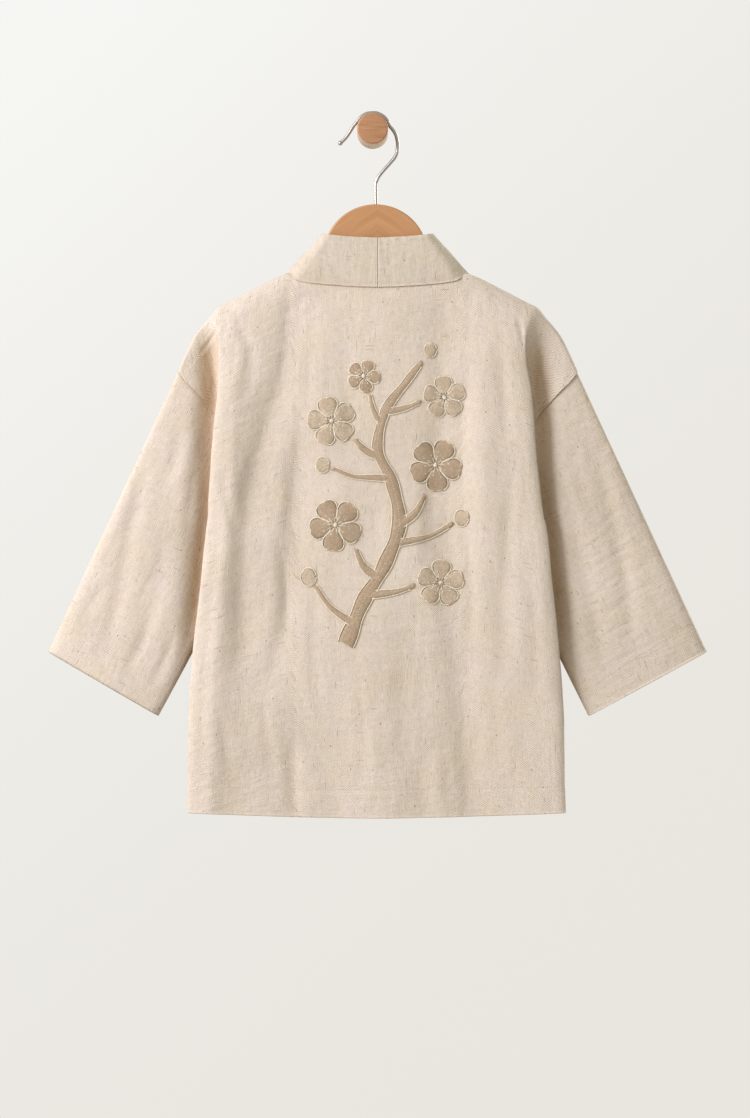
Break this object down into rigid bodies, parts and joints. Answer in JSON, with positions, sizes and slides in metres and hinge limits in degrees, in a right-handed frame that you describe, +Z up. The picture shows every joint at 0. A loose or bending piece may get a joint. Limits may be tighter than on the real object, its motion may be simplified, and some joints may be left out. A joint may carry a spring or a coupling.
{
  "type": "kimono jacket on a wooden hanger and wall peg",
  "caption": "Child's linen kimono jacket, back outwards, on a flat wooden hanger whose wire hook hangs over a round wooden wall peg.",
  "frame": {"origin": "centre of the wall peg's back face, which lies on the wall", "axes": "+Y into the wall, along the peg; +Z up; +X the wearer's right, because the jacket's front faces the wall"},
  "size_m": [0.6614, 0.0588, 0.7086],
  "materials": {
    "linen": "matt slubby twill",
    "hanger_wood": "satin varnish",
    "peg_wood": "satin oil",
    "steel": "satin"
  },
  "bodies": {
    "root": {"back_panel": "linen", "front_left": "linen", "front_right": "linen", "sleeve_left": "linen", "sleeve_right": "linen", "collar_left": "linen", "collar_right": "linen", "hanger_body": "hanger_wood", "hanger_hook": "steel", "wall_peg": "peg_wood"}
  },
  "joints": []
}
